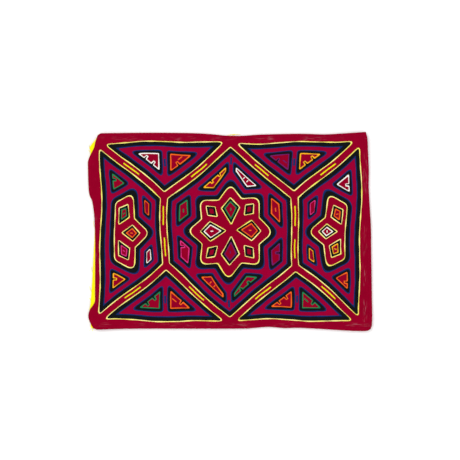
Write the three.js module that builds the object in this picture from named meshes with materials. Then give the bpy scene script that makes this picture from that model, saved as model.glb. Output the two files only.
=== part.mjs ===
// A mola panel: layered cotton cloth, cut through and stitched, lying flat with its face up.
// Millimetres, +Z up. The origin is the middle of the panel's underside.
import * as THREE from "three";

// The three levels of cloth, with the air that keeps neighbouring pieces apart
const CLOTH = 1.0;
const GAP = 0.3;
const BASE_LEVEL = 0;
const MIDDLE_LEVEL = BASE_LEVEL + CLOTH + GAP;
const TOP_LEVEL = MIDDLE_LEVEL + CLOTH + GAP;

// The stitched field inside the border, and the lattice of ribs that divides it
const FIELD = { halfWidth: 188, halfHeight: 129 };
const SHOULDER = 50;
const RIB = 9;
const RIB_SLIT = { width: 1.9, length: 28, placesUpright: [0.27, 0.73], placesSlanted: [0.5] };

// The bands that step down round each window and motif, from the crimson cloth inwards
const BAND = { yellow: 1.3, black: 4.8, blue: 2.0, magenta: 5.2 };
const STEP_DOWN = BAND.yellow + BAND.black + BAND.blue;
const FILLER_INSET = STEP_DOWN + BAND.magenta + BAND.blue;
const CELL_YELLOW = 1.2;

// Corner radii that a folded cotton edge takes
const WINDOW_ROUND = 4.0;
const FILLER_ROUND = 3.0;
const CELL_ROUND = 2.0;
const VALLEY_ROUND = 4.0;
const TIGHTEST_ROUND = 0.6;
const MOST_OF_A_SIDE = 0.42;
const CORNER_STEPS = 2;
const EDGE_STEP = 20;
const SHORTEST_SIDE = 0.5;
const SHORTEST_FILLER_SIDE = 2.0;

// The flowers: whole in the middle window, half at each side. Radii are before stretching along Y.
const FLOWER = { petals: 8, radius: 59, valley: 0.72, stretch: 1.13, petalRound: 10 };
const HALF_FLOWER = { petals: 6, radius: 51, valley: 0.64, stretch: 1.24, petalRound: 9 };
// The kite-shaped cells in the petals, measured from the flower's centre
const CELL = { near: 6, widestAt: 29, halfWidth: 13.5, far: 43 };
const SMALL_CELL = { near: 25, widestAt: 37.5, halfWidth: 8, far: 49 };
const HALF_CELL = { near: 9, widestAt: 26, halfWidth: 10, far: 38 };

// The panel's edge as it was cut and hemmed. The middle and bottom cloths stop short of it,
// except at the left, where the yellow cloth shows past the crimson.
const UNDER_SCALE = 0.998;
const SAMPLES = { top: 18, right: 10, bottom: 26, left: 30 };
const TOP_EDGE = [
  { x: -186, y: 141.5 },
  { x: -130, y: 142.3 },
  { x: -84, y: 142.2 },
  { x: -49, y: 141.5 },
  { x: -26, y: 140.1 },
  { x: -3, y: 138.0 },
  { x: 20, y: 138.0 },
  { x: 43, y: 139.6 },
  { x: 101, y: 140.8 },
  { x: 136, y: 139.9 },
  { x: 170, y: 141.7 },
  { x: 195.5, y: 143.3 },
];
const RIGHT_EDGE = [
  { x: 197.8, y: 135 },
  { x: 200, y: 89 },
  { x: 200, y: 60 },
  { x: 202.9, y: 9 },
  { x: 203.4, y: -27 },
  { x: 204.3, y: -85 },
  { x: 204.9, y: -121 },
  { x: 204.2, y: -136 },
];
const BOTTOM_EDGE = [
  { x: 202.4, y: -140.8 },
  { x: 197.5, y: -143.1 },
  { x: 187, y: -143.5 },
  { x: 170, y: -143.0 },
  { x: 147, y: -141.5 },
  { x: 101, y: -139.0 },
  { x: 78, y: -139.3 },
  { x: 55, y: -137.6 },
  { x: 32, y: -139.3 },
  { x: 9, y: -140.1 },
  { x: -130, y: -140.1 },
  { x: -159, y: -140.5 },
  { x: -192, y: -141.5 },
];
const LEFT_EDGE = [
  { y: -139, crimson: -197.5, yellow: -200.5 },
  { y: -130, crimson: -202.2, yellow: -201.4 },
  { y: -122, crimson: -204.3, yellow: -203.5 },
  { y: -113, crimson: -202.2, yellow: -202.7 },
  { y: -102, crimson: -195.2, yellow: -201.0 },
  { y: -88, crimson: -194.7, yellow: -200.0 },
  { y: -61, crimson: -194.5, yellow: -198.2 },
  { y: -38, crimson: -194.5, yellow: -197.2 },
  { y: -11, crimson: -194.6, yellow: -195.6 },
  { y: 22, crimson: -195.8, yellow: -194.9 },
  { y: 43, crimson: -198.7, yellow: -197.9 },
  { y: 57, crimson: -203.5, yellow: -202.7 },
  { y: 92, crimson: -204.9, yellow: -204.1 },
  { y: 103, crimson: -204.2, yellow: -203.4 },
  { y: 114, crimson: -199.3, yellow: -201.2 },
  { y: 121, crimson: -195.8, yellow: -202.4 },
  { y: 130, crimson: -193.8, yellow: -196.0 },
  { y: 139, crimson: -190.5, yellow: -189.5 },
];

// Slow waves, in millimetres, that move every cut line a little off straight
const UNEVEN_X = [
  { size: 1.5, alongX: 31, alongY: 47, start: 0.6 },
  { size: 1.1, alongX: -53, alongY: 19, start: 2.1 },
];
const UNEVEN_Y = [
  { size: 1.4, alongX: 37, alongY: -29, start: 1.9 },
  { size: 1.1, alongX: 17, alongY: 61, start: 0.3 },
];

// Dyed cotton, matt and napped
const cotton = (color) => new THREE.MeshStandardMaterial({ color, roughness: 0.92, metalness: 0 });
const CRIMSON = cotton(0x8b0023);
const MAGENTA = cotton(0x980034);
const BLACK = cotton(0x121018);
const YELLOW = cotton(0xf6eb20);

const panel = new THREE.Group();

const point = (x, y) => new THREE.Vector2(x, y);

function drift(waves, p) {
  return waves.reduce((sum, w) => sum + w.size * Math.sin(p.x / w.alongX + p.y / w.alongY + w.start), 0);
}

// Every line is a little off straight, as hand cutting leaves it.
function handDrawn(p) {
  return point(p.x + drift(UNEVEN_X, p), p.y + drift(UNEVEN_Y, p));
}

// Keep the part of a convex outline that lies behind the line through origin.
function clip(outline, origin, outward) {
  const kept = [];
  const depth = outline.map((p) => p.clone().sub(origin).dot(outward));
  outline.forEach((p, i) => {
    const next = (i + 1) % outline.length;
    if (depth[i] <= 0) kept.push(p);
    if (depth[i] * depth[next] < 0) {
      kept.push(p.clone().lerp(outline[next], depth[i] / (depth[i] - depth[next])));
    }
  });
  return kept;
}

const outwardNormal = (a, b) => point(b.y - a.y, a.x - b.x).normalize();

// Move each side of a convex outline inwards by its own distance, or all by one.
function shrink(outline, distance) {
  let result = outline;
  outline.forEach((a, i) => {
    const outward = outwardNormal(a, outline[(i + 1) % outline.length]);
    const inset = Array.isArray(distance) ? distance[i] : distance;
    result = clip(result, a.clone().addScaledVector(outward, -inset), outward);
  });
  return result.filter((p, i) => p.distanceTo(result.at(i - 1)) > SHORTEST_SIDE);
}

// Move every side of an outline outwards, keeping its corners and valleys.
function grow(outline, distance) {
  return outline.map((q, i) => {
    const before = outwardNormal(outline.at(i - 1), q);
    const after = outwardNormal(q, outline[(i + 1) % outline.length]);
    return q.clone().addScaledVector(before.clone().add(after), distance / (1 + before.dot(after)));
  });
}

// Round the corners, and the valleys between petals, with quadratic curves.
function soften(outline, cornerRadius, valleyRadius) {
  return outline.flatMap((q, i) => {
    const back = outline.at(i - 1).clone().sub(q);
    const ahead = outline[(i + 1) % outline.length].clone().sub(q);
    const isCorner = ahead.cross(back) > 0;
    const radius = isCorner ? cornerRadius : valleyRadius;
    const halfAngle = Math.acos(back.dot(ahead) / back.length() / ahead.length()) / 2;
    const room = MOST_OF_A_SIDE * Math.min(back.length(), ahead.length());
    const reach = Math.min(radius / Math.tan(halfAngle), room);
    const start = q.clone().addScaledVector(back, reach / back.length());
    const end = q.clone().addScaledVector(ahead, reach / ahead.length());
    return new THREE.QuadraticBezierCurve(start, q, end).getPoints(CORNER_STEPS);
  });
}

// Divide long sides so that they can follow the unevenness of the hand-cut line.
function divide(outline) {
  return outline.flatMap((a, i) => {
    const b = outline[(i + 1) % outline.length];
    const count = Math.max(1, Math.ceil(a.distanceTo(b) / EDGE_STEP));
    return Array.from({ length: count }, (_, k) => a.clone().lerp(b, k / count));
  });
}

function cut(outline, cornerRadius, valleyRadius = VALLEY_ROUND) {
  return divide(soften(outline, Math.max(cornerRadius, TIGHTEST_ROUND), valleyRadius)).map(handDrawn);
}

// A piece of cloth of one thickness, with the windows cut through it.
function cloth(name, outline, level, material, windows = []) {
  const shape = new THREE.Shape(outline);
  shape.holes = windows.map((window) => new THREE.Path(window));
  const geometry = new THREE.ExtrudeGeometry(shape, { depth: CLOTH, bevelEnabled: false });
  const mesh = new THREE.Mesh(geometry, material);
  mesh.name = name;
  mesh.position.z = level;
  panel.add(mesh);
}

function panelEdge(layer) {
  const along = (rows, count) => new THREE.SplineCurve(rows.map((r) => point(r.x, r.y))).getPoints(count);
  const left = LEFT_EDGE.map((row) => ({ x: row[layer], y: row.y }));
  const others = [
    ...along([...BOTTOM_EDGE].reverse(), SAMPLES.bottom),
    ...along([...RIGHT_EDGE].reverse(), SAMPLES.right),
    ...along([...TOP_EDGE].reverse(), SAMPLES.top),
  ];
  const scale = layer === "yellow" ? UNDER_SCALE : 1;
  return [...others.map((p) => p.multiplyScalar(scale)), ...along(left.reverse(), SAMPLES.left)];
}

const mirrorX = (outline) => outline.map((p) => point(-p.x, p.y)).reverse();
const mirrorY = (outline) => outline.map((p) => point(p.x, -p.y)).reverse();

// The seven windows between the ribs, counter-clockwise
function latticeWindows() {
  const { halfWidth: w, halfHeight: h } = FIELD;
  const rib = RIB / 2;
  const whole = [point(-w / 2, -SHOULDER), point(0, -h), point(w / 2, -SHOULDER)];
  whole.push(point(w / 2, SHOULDER), point(0, h), point(-w / 2, SHOULDER));
  const half = [point(-w, -h), point(-w / 2, -SHOULDER), point(-w / 2, SHOULDER), point(-w, h)];
  const gusset = [point(-w, h), point(-w / 2, SHOULDER), point(0, h)];
  const left = shrink(half, [rib, rib, rib, 0]);
  const topLeft = shrink(gusset, [rib, rib, 0]);
  return {
    middle: shrink(whole, rib),
    left,
    right: mirrorX(left),
    top_left: topLeft,
    top_right: mirrorX(topLeft),
    bottom_left: mirrorY(topLeft),
    bottom_right: mirrorX(mirrorY(topLeft)),
  };
}

// The sharp outline that the petals are rounded from. Odd points are petal tips.
// A half flower starts and ends in a valley on its flat side.
function flowerPoints(flower, centre, isHalf) {
  const step = Math.PI / flower.petals;
  const count = isHalf ? flower.petals + 1 : 2 * flower.petals;
  const first = isHalf ? -Math.PI / 2 : -step;
  return Array.from({ length: count }, (_, k) => {
    const angle = first + k * step;
    const radius = k % 2 === 1 ? flower.radius : flower.radius * flower.valley;
    return point(centre.x + radius * Math.cos(angle), centre.y + flower.stretch * radius * Math.sin(angle));
  });
}

// The areas left for filler patches: one outside each valley, between ribs that run out from the tips
function fillersAround(window, outline, centre, isHalf) {
  const edge = grow(outline, FILLER_INSET);
  const ribHalf = BAND.magenta / 2 + BAND.blue;
  const fillers = [];
  for (let valley = 0; valley < edge.length; valley += 2) {
    let area = shrink(window, FILLER_INSET);
    const hasBefore = !isHalf || valley > 0;
    const hasAfter = !isHalf || valley < edge.length - 1;
    for (const side of [...(hasBefore ? [-1] : []), ...(hasAfter ? [1] : [])]) {
      const tip = edge.at((valley + side) % edge.length);
      const [from, to] = side > 0 ? [edge[valley], tip] : [tip, edge[valley]];
      area = clip(area, from, outwardNormal(from, to).negate());
      const ray = tip.clone().sub(centre).normalize();
      const towardsTip = point(-ray.y, ray.x).multiplyScalar(side);
      area = clip(area, centre.clone().addScaledVector(towardsTip, -ribHalf), towardsTip);
    }
    fillers.push(area.filter((p, i) => p.distanceTo(area.at(i - 1)) > SHORTEST_FILLER_SIDE));
  }
  return fillers;
}

// The two halves of a three-cornered window's filler area, either side of an upright magenta rib
function cornerFillers(window) {
  const area = shrink(window, FILLER_INSET);
  const across = area.map((p) => p.x);
  const middle = (Math.min(...across) + Math.max(...across)) / 2;
  const ribHalf = BAND.magenta / 2 + BAND.blue;
  return [-1, 1].map((side) => clip(area, point(middle + side * ribHalf, 0), point(-side, 0)));
}

// A kite-shaped opening in a flower, along one of its petals
function cellOutline(cell, flower, centre, angle) {
  const out = point(Math.cos(angle), Math.sin(angle));
  const across = point(-out.y, out.x);
  const corner = (along, aside) => out.clone().multiplyScalar(along).addScaledVector(across, aside);
  const corners = [
    corner(cell.near, 0),
    corner(cell.widestAt, -cell.halfWidth),
    corner(cell.far, 0),
    corner(cell.widestAt, cell.halfWidth),
  ];
  return corners.map((p) => point(centre.x + p.x, centre.y + p.y * flower.stretch));
}

// The black band that lies just inside a window's yellow edge
function windowBand(name, window) {
  const outer = BAND.yellow + GAP;
  const inner = BAND.yellow + BAND.black;
  const hole = cut(shrink(window, inner), WINDOW_ROUND - inner);
  cloth(`${name}_black_band`, cut(shrink(window, outer), WINDOW_ROUND - outer), MIDDLE_LEVEL, BLACK, [hole]);
}

function fillerPatch(name, outline) {
  cloth(name, cut(outline, FILLER_ROUND), MIDDLE_LEVEL, BLACK);
}

// A flower: crimson over yellow, a black band round it, and black cells showing through
function flowerPieces(name, flower, outline, cells) {
  const inner = BAND.yellow + GAP;
  const outer = BAND.yellow + BAND.black;
  const layer = (distance) => cut(grow(outline, distance), flower.petalRound + distance);
  const cellAt = (cell, distance) => cut(shrink(cell, distance), CELL_ROUND - distance);
  cloth(`${name}_black_band`, layer(outer), MIDDLE_LEVEL, BLACK, [layer(inner)]);
  const yellowCells = cells.map((cell) => cellAt(cell, CELL_YELLOW));
  cloth(`${name}_yellow`, layer(BAND.yellow), MIDDLE_LEVEL, YELLOW, yellowCells);
  cloth(`${name}_crimson`, layer(0), TOP_LEVEL, CRIMSON, cells.map((cell) => cellAt(cell, 0)));
  cells.forEach((cell, i) => {
    cloth(`${name}_cell_${i + 1}`, cellAt(cell, CELL_YELLOW + GAP), MIDDLE_LEVEL, BLACK);
  });
}

function middleFlower(window) {
  const centre = point(0, 0);
  const outline = flowerPoints(FLOWER, centre, false);
  const quarters = [0, 1, 2, 3].map((k) => (k * Math.PI) / 2);
  const cells = [
    ...quarters.map((angle) => cellOutline(CELL, FLOWER, centre, angle)),
    ...quarters.map((angle) => cellOutline(SMALL_CELL, FLOWER, centre, angle + Math.PI / 4)),
  ];
  flowerPieces("middle_flower", FLOWER, outline, cells);
  const areas = fillersAround(window, outline, centre, false);
  areas.forEach((area, i) => fillerPatch(`middle_filler_${i + 1}`, area));
}

function sideFlowers(window) {
  const centre = point(-FIELD.halfWidth + 2 * STEP_DOWN + BAND.magenta, 0);
  const outline = flowerPoints(HALF_FLOWER, centre, true);
  const angles = [-1, 0, 1].map((k) => (2 * k * Math.PI) / HALF_FLOWER.petals);
  const cells = angles.map((angle) => cellOutline(HALF_CELL, HALF_FLOWER, centre, angle));
  const areas = fillersAround(window, outline, centre, true);
  flowerPieces("left_flower", HALF_FLOWER, outline, cells);
  flowerPieces("right_flower", HALF_FLOWER, mirrorX(outline), cells.map(mirrorX));
  areas.forEach((area, i) => {
    fillerPatch(`left_filler_${i + 1}`, area);
    fillerPatch(`right_filler_${i + 1}`, mirrorX(area));
  });
}

// Short cuts along the ribs that let the yellow cloth through
function ribSlits() {
  const { halfWidth: w, halfHeight: h } = FIELD;
  const slits = [];
  for (const sx of [-1, 1]) {
    const crossings = [-1, 1].map((sy) => point((sx * w) / 2, sy * SHOULDER));
    const ribs = [[...crossings, RIB_SLIT.placesUpright]];
    crossings.forEach((crossing, i) => {
      const sy = i === 0 ? -1 : 1;
      for (const end of [point(0, sy * h), point(sx * w, sy * h)]) {
        ribs.push([crossing, end, RIB_SLIT.placesSlanted]);
      }
    });
    for (const [from, to, places] of ribs) {
      for (const place of places) {
        const along = to.clone().sub(from).normalize();
        const across = point(-along.y, along.x).multiplyScalar(RIB_SLIT.width / 2);
        along.multiplyScalar(RIB_SLIT.length / 2);
        const middle = from.clone().lerp(to, place);
        const corner = (u, v) => middle.clone().addScaledVector(along, u).addScaledVector(across, v);
        slits.push(cut([corner(-1, -1), corner(1, -1), corner(1, 1), corner(-1, 1)], RIB_SLIT.width / 2));
      }
    }
  }
  return slits;
}

const windows = latticeWindows();
const openings = (inset) => Object.values(windows).map((w) => cut(shrink(w, inset), WINDOW_ROUND - inset));

cloth("base_cloth", panelEdge("yellow"), BASE_LEVEL, MAGENTA);
cloth("yellow_cloth", panelEdge("yellow"), MIDDLE_LEVEL, YELLOW, openings(BAND.yellow));
cloth("top_cloth", panelEdge("crimson"), TOP_LEVEL, CRIMSON, [...openings(0), ...ribSlits()]);
for (const [name, window] of Object.entries(windows)) {
  windowBand(`${name}_window`, window);
  const areas = name.includes("_") ? cornerFillers(window) : [];
  areas.forEach((area, i) => fillerPatch(`${name}_filler_${i + 1}`, area));
}
middleFlower(windows.middle);
sideFlowers(windows.left);

// Put the origin under the middle of the outline
const size = new THREE.Box3().setFromObject(panel);
const middle = size.getCenter(new THREE.Vector3());
panel.position.set(-middle.x, -middle.y, 0);

export default panel;
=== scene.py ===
"""A mola panel of layered cotton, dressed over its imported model: turned edges, filler patches,
hand stitches and plain-weave cloth, lying flat with its stitched face up."""

import cmath
import math
from collections import namedtuple

import bpy
import numpy as np
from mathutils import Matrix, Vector


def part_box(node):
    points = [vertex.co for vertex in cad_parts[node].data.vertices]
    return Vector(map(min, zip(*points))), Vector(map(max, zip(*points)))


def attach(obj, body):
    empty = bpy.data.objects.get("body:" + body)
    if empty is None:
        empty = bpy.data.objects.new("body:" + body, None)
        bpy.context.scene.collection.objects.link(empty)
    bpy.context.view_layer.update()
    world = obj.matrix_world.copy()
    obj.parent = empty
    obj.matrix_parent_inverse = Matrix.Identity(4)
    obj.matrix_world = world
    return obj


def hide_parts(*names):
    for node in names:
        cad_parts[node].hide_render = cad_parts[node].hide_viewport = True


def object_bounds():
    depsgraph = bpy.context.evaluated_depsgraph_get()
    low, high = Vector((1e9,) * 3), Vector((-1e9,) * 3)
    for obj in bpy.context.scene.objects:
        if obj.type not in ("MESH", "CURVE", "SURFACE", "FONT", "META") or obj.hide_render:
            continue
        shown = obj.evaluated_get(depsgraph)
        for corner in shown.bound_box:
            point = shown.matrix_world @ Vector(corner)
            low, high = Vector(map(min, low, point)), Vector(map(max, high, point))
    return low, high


bl_info = {
    "name": "Mola panel",
    "version": (1, 0, 0),
    "blender": (4, 5, 0),
    "location": "View3D > Sidebar > Mola",
    "description": "Cuts, turns and stitches the cloths of a mola panel",
    "category": "Add Mesh",
}

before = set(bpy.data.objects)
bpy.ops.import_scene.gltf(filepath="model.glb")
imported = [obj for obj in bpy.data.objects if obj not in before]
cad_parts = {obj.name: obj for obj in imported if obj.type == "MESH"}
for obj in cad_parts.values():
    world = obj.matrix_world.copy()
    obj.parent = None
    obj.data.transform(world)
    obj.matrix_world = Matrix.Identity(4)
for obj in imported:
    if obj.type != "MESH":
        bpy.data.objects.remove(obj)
CAD_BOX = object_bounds()

# Plans are drawn in millimetres on complex numbers, x + 1j * y, and built in metres.
MM = 0.001

# The stitched field and the lattice of ribs that divides it
FIELD_HALF_WIDTH = 188.0
FIELD_HALF_HEIGHT = 129.0
SHOULDER = 50.0
RIB = 9.0
RIB_SLIT_WIDTH = 1.9
RIB_SLIT_LENGTH = 28.0
RIB_STRIP_MARGIN = 1.0
UPRIGHT_RIB_SLITS = (0.27, 0.73)
SLANTED_RIB_SLITS = (0.5,)

# The bands that step down round each window and flower, from the crimson cloth inwards
YELLOW_BAND = 1.55
BLACK_BAND = 4.85
BLUE_BAND = 1.7
MAGENTA_BAND = 5.2
STEP_DOWN = YELLOW_BAND + BLACK_BAND + BLUE_BAND
FILLER_INSET = STEP_DOWN + MAGENTA_BAND + BLUE_BAND
CELL_YELLOW = 1.45
# How far a cloth reaches under the one above it, and where the black bands' hidden edges lie
TUCK = 1.6
BLACK_HIDDEN = 0.2

# What lies inside a black filler patch or cell: a coloured line round a crimson core
FILLER_BLACK = 3.1
FILLER_LINE = 1.5
FULL_BREADTH = 10.0
CELL_BLACK = 2.4
CELL_LINE = 1.4

# The radius of a folded edge, and how much narrower the yellow lines are than their bands
FOLD = 0.28

# Corner radii that a folded cotton edge takes
WINDOW_ROUND = 4.0
FILLER_ROUND = 3.0
CELL_ROUND = 2.0
VALLEY_ROUND = 4.0
TIGHTEST_ROUND = 0.6
MOST_OF_A_SIDE = 0.42
CORNER_STEPS = 8
EDGE_STEP = 3.0
CLOSEST_POINTS = 0.05
SHORTEST_SIDE = 0.5
SHORTEST_FILLER_SIDE = 2.0

# The flowers: whole in the middle window, half at each side
FLOWER = dict(petals=8, radius=59.0, valley=0.72, stretch=1.13, petal_round=10.0)
HALF_FLOWER = dict(petals=6, radius=51.0, valley=0.64, stretch=1.24, petal_round=9.0)
# The kite-shaped cells in the petals, measured from the flower's centre
CELL = dict(near=6.0, widest_at=29.0, half_width=13.5, far=43.0)
SMALL_CELL = dict(near=25.0, widest_at=37.5, half_width=8.0, far=49.0)
HALF_CELL = dict(near=9.0, widest_at=26.0, half_width=10.0, far=38.0)

# The panel's edge: x and y of the crimson cloth, and at the left y, crimson x and yellow x
UNDER_SCALE = 0.998
TOP_EDGE = (
    (-186, 141.5), (-130, 142.3), (-84, 142.2), (-49, 141.5), (-26, 140.1), (-3, 138.0),
    (20, 138.0), (43, 139.6), (101, 140.8), (136, 139.9), (170, 141.7), (195.5, 143.3),
)
RIGHT_EDGE = (
    (197.8, 135), (200, 89), (200, 60), (202.9, 9), (203.4, -27), (204.3, -85),
    (204.9, -121), (204.2, -136),
)
BOTTOM_EDGE = (
    (202.4, -140.8), (197.5, -143.1), (187, -143.5), (170, -143.0), (147, -141.5), (101, -139.0),
    (78, -139.3), (55, -137.6), (32, -139.3), (9, -140.1), (-130, -140.1), (-159, -140.5),
    (-192, -141.5),
)
LEFT_EDGE = (
    (-139, -197.5, -200.5), (-130, -202.2, -201.4), (-122, -204.3, -203.5),
    (-113, -202.2, -202.7), (-102, -195.2, -201.0), (-88, -194.7, -200.0), (-61, -194.5, -198.2),
    (-38, -194.5, -197.2), (-11, -194.6, -195.6), (22, -195.8, -194.9), (43, -198.7, -197.9),
    (57, -203.5, -202.7), (92, -204.9, -204.1), (103, -204.2, -203.4), (114, -199.3, -201.2),
    (121, -195.8, -202.4), (130, -193.8, -196.0), (139, -190.5, -189.5),
)
CRIMSON_EDGE, YELLOW_EDGE = 1, 2
EDGE_SAMPLES = 5

# Slow waves along X and along Y that move every cut line a little off straight, as in the packed
# model: each one's height, how far along X and Y it turns one radian, and where it starts
UNEVEN = (
    ((1.5, 31, 47, 0.6), (1.1, -53, 19, 2.1)),
    ((1.4, 37, -29, 1.9), (1.1, 17, 61, 0.3)),
)
# A faster tremor that starts elsewhere for each cloth, and so makes the bands vary in width
TREMOR = 0.17
TREMOR_WAVES = (
    ((1.0, 11.0, 5.3, 2.4), (0.6, math.inf, 2.9, 4.1)),
    ((1.0, 5.9, -13.0, 1.7), (0.6, 3.1, math.inf, 3.3)),
)
CRIMSON_HAND, YELLOW_HAND, BLACK_HAND, LINE_HAND, CORE_HAND, BLUE_HAND = range(6)

# Small blue dashes let into the wide parts of the magenta cloth: the middle of each
DASHES = tuple(complex(x, y) for y in (-98, 98) for x in (-94, 94)) + (-102j, 102j)
DASH_LENGTH = 11.0
DASH_WIDTH = 2.9

# Heights of each cloth in the stack: underside, top side
BASE = (0.0, 1.0)
BLUE = (0.9, 1.5)
BLACK = (1.4, 2.1)
YELLOW = (2.0, 2.7)
SLIT_STRIP = (2.1, 2.78)
LINE = (2.0, 2.6)
CORE = (2.5, 3.2)
CRIMSON = (2.6, 3.5)
HEM = (0.2, 3.75)
HEM_WIDTH = 5.0
HEM_STITCH_INSET = 4.1
SIDE_STITCH_INSET = 3.4
HEM_END = -186.0
GRID = 9.0
SAME_POINT = 0.002
SMOOTH_ANGLE = 50.0


def drift(p, waves, turn=1):
    """How far waves move a point. turn says how often their starts are added."""
    return complex(*(
        sum(size * math.sin(p.real / x + p.imag / y + start * turn) for size, x, y, start in rows)
        for rows in waves
    ))


def hand_drawn(p, cloth):
    """Where a point of the drawn plan ends up once a cloth is cut and folded by hand."""
    return p + drift(p, UNEVEN) + TREMOR * drift(p, TREMOR_WAVES, cloth)


def dot(a, b):
    return (a * b.conjugate()).real


def outward_normal(a, b):
    return -1j * (b - a) / abs(b - a)


def clip(outline, origin, outward):
    """Keep the part of a convex outline that lies behind the line through origin."""
    depth = [dot(p - origin, outward) for p in outline]
    kept = []
    for i, p in enumerate(outline):
        after = (i + 1) % len(outline)
        if depth[i] <= 0:
            kept.append(p)
        if depth[i] * depth[after] < 0:
            kept.append(p + (outline[after] - p) * depth[i] / (depth[i] - depth[after]))
    return kept


def apart(outline, least=CLOSEST_POINTS):
    """The points of an outline without those that all but repeat the one before."""
    return [p for i, p in enumerate(outline) if abs(p - outline[i - 1]) > least]


def shrink(outline, distance):
    """Move each side of a convex outline inwards by its own distance, or all by one."""
    result = outline
    for i, a in enumerate(outline):
        outward = outward_normal(a, outline[(i + 1) % len(outline)])
        inset = distance[i] if isinstance(distance, list) else distance
        result = clip(result, a - outward * inset, outward)
    return apart(result, SHORTEST_SIDE)


def grow(outline, distance):
    """Move every side of an outline outwards, keeping its corners and valleys."""
    grown = []
    for i, q in enumerate(outline):
        before = outward_normal(outline[i - 1], q)
        after = outward_normal(q, outline[(i + 1) % len(outline)])
        grown.append(q + (before + after) * distance / (1 + dot(before, after)))
    return grown


def soften(outline, corner_radius, valley_radius):
    """Round the corners, and the valleys between petals, with quadratic curves."""
    rounded = []
    for i, q in enumerate(outline):
        back = outline[i - 1] - q
        ahead = outline[(i + 1) % len(outline)] - q
        is_corner = (ahead.conjugate() * back).imag > 0
        radius = corner_radius if is_corner else valley_radius
        half_angle = math.acos(max(-1, min(1, dot(back, ahead) / abs(back) / abs(ahead)))) / 2
        room = MOST_OF_A_SIDE * min(abs(back), abs(ahead))
        reach = min(radius / math.tan(half_angle), room)
        start = q + back * reach / abs(back)
        end = q + ahead * reach / abs(ahead)
        for k in range(CORNER_STEPS + 1):
            t = k / CORNER_STEPS
            rounded.append(start * (1 - t) ** 2 + 2 * q * t * (1 - t) + end * t * t)
    return rounded


def divide(outline):
    """Divide long sides so that they can follow the unevenness of the hand-cut line."""
    points = []
    for i, a in enumerate(outline):
        b = outline[(i + 1) % len(outline)]
        count = max(1, math.ceil(abs(b - a) / EDGE_STEP))
        points += [a + (b - a) * k / count for k in range(count)]
    return points


def cut(outline, corner_radius, cloth, valley_radius=VALLEY_ROUND):
    """The line that the scissors follow: softened corners, uneven sides."""
    smooth = divide(soften(outline, max(corner_radius, TIGHTEST_ROUND), valley_radius))
    return apart([hand_drawn(p, cloth) for p in smooth])


def slit(middle, along, length, width, cloth):
    """A narrow opening with round ends. along is the unit direction of its length."""
    half_length, half_width = along * length / 2, 1j * along * width / 2
    corners = [middle - half_length - half_width, middle + half_length - half_width]
    corners += [middle + half_length + half_width, middle - half_length + half_width]
    return cut(corners, width / 2, cloth)


def through(points):
    """A smooth curve through the points, open at its ends."""
    ends = [2 * points[0] - points[1], *points, 2 * points[-1] - points[-2]]
    curve = []
    for a, b, c, d in zip(ends, ends[1:], ends[2:], ends[3:]):
        for k in range(EDGE_SAMPLES):
            t = k / EDGE_SAMPLES
            pull = (2 * a - 5 * b + 4 * c - d) * t * t + (3 * b - a - 3 * c + d) * t ** 3
            curve.append(b + ((c - a) * t + pull) / 2)
    return [*curve, points[-1]]


def hemmed_edge():
    """The bottom, right and top edges of the crimson cloth, in that order."""
    rows = [[complex(*p) for p in reversed(edge)] for edge in (BOTTOM_EDGE, RIGHT_EDGE, TOP_EDGE)]
    return [p for row in rows for p in through(row)]


def hem_strip():
    """The part of the crimson cloth that is folded over and down round the other cloths' edges."""
    outer = apart(hemmed_edge())
    across, up = (1 - HEM_WIDTH * MM / CAD_BOX[1][k] for k in (0, 1))
    inner = [complex(p.real * across, p.imag * up) for p in outer]
    return [*outer, *reversed(inner)]


def panel_edge(layer, scale=1.0):
    """The outline of one of the three large cloths. layer is which of the left edges it has."""
    others = [p * scale for p in hemmed_edge()]
    left = [complex(row[layer], row[0]) for row in reversed(LEFT_EDGE)]
    return apart(others + through(left))


def mirror_x(outline):
    return [-p.conjugate() for p in reversed(outline)]


def mirror_y(outline):
    return [p.conjugate() for p in reversed(outline)]


def lattice_windows():
    """The seven windows between the ribs, counter-clockwise."""
    w, h, s, rib = FIELD_HALF_WIDTH, FIELD_HALF_HEIGHT, SHOULDER, RIB / 2
    half = w / 2
    whole = [complex(-half, -s), -1j * h, complex(half, -s)]
    whole += [complex(half, s), 1j * h, complex(-half, s)]
    side = [complex(-w, -h), complex(-half, -s), complex(-half, s), complex(-w, h)]
    gusset = [complex(-w, h), complex(-half, s), 1j * h]
    left = shrink(side, [rib, rib, rib, 0])
    top_left = shrink(gusset, [rib, rib, 0])
    return {
        "middle": shrink(whole, rib),
        "left": left,
        "right": mirror_x(left),
        "top_left": top_left,
        "top_right": mirror_x(top_left),
        "bottom_left": mirror_y(top_left),
        "bottom_right": mirror_x(mirror_y(top_left)),
    }


def flower_points(flower, centre, is_half):
    """The sharp outline that petals are rounded from. Odd points are petal tips."""
    step = math.pi / flower["petals"]
    count = flower["petals"] + 1 if is_half else 2 * flower["petals"]
    first = -math.pi / 2 if is_half else -step
    points = []
    for k in range(count):
        radius = flower["radius"] * (1 if k % 2 else flower["valley"])
        spoke = cmath.rect(radius, first + k * step)
        points.append(centre + complex(spoke.real, spoke.imag * flower["stretch"]))
    return points


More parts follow.
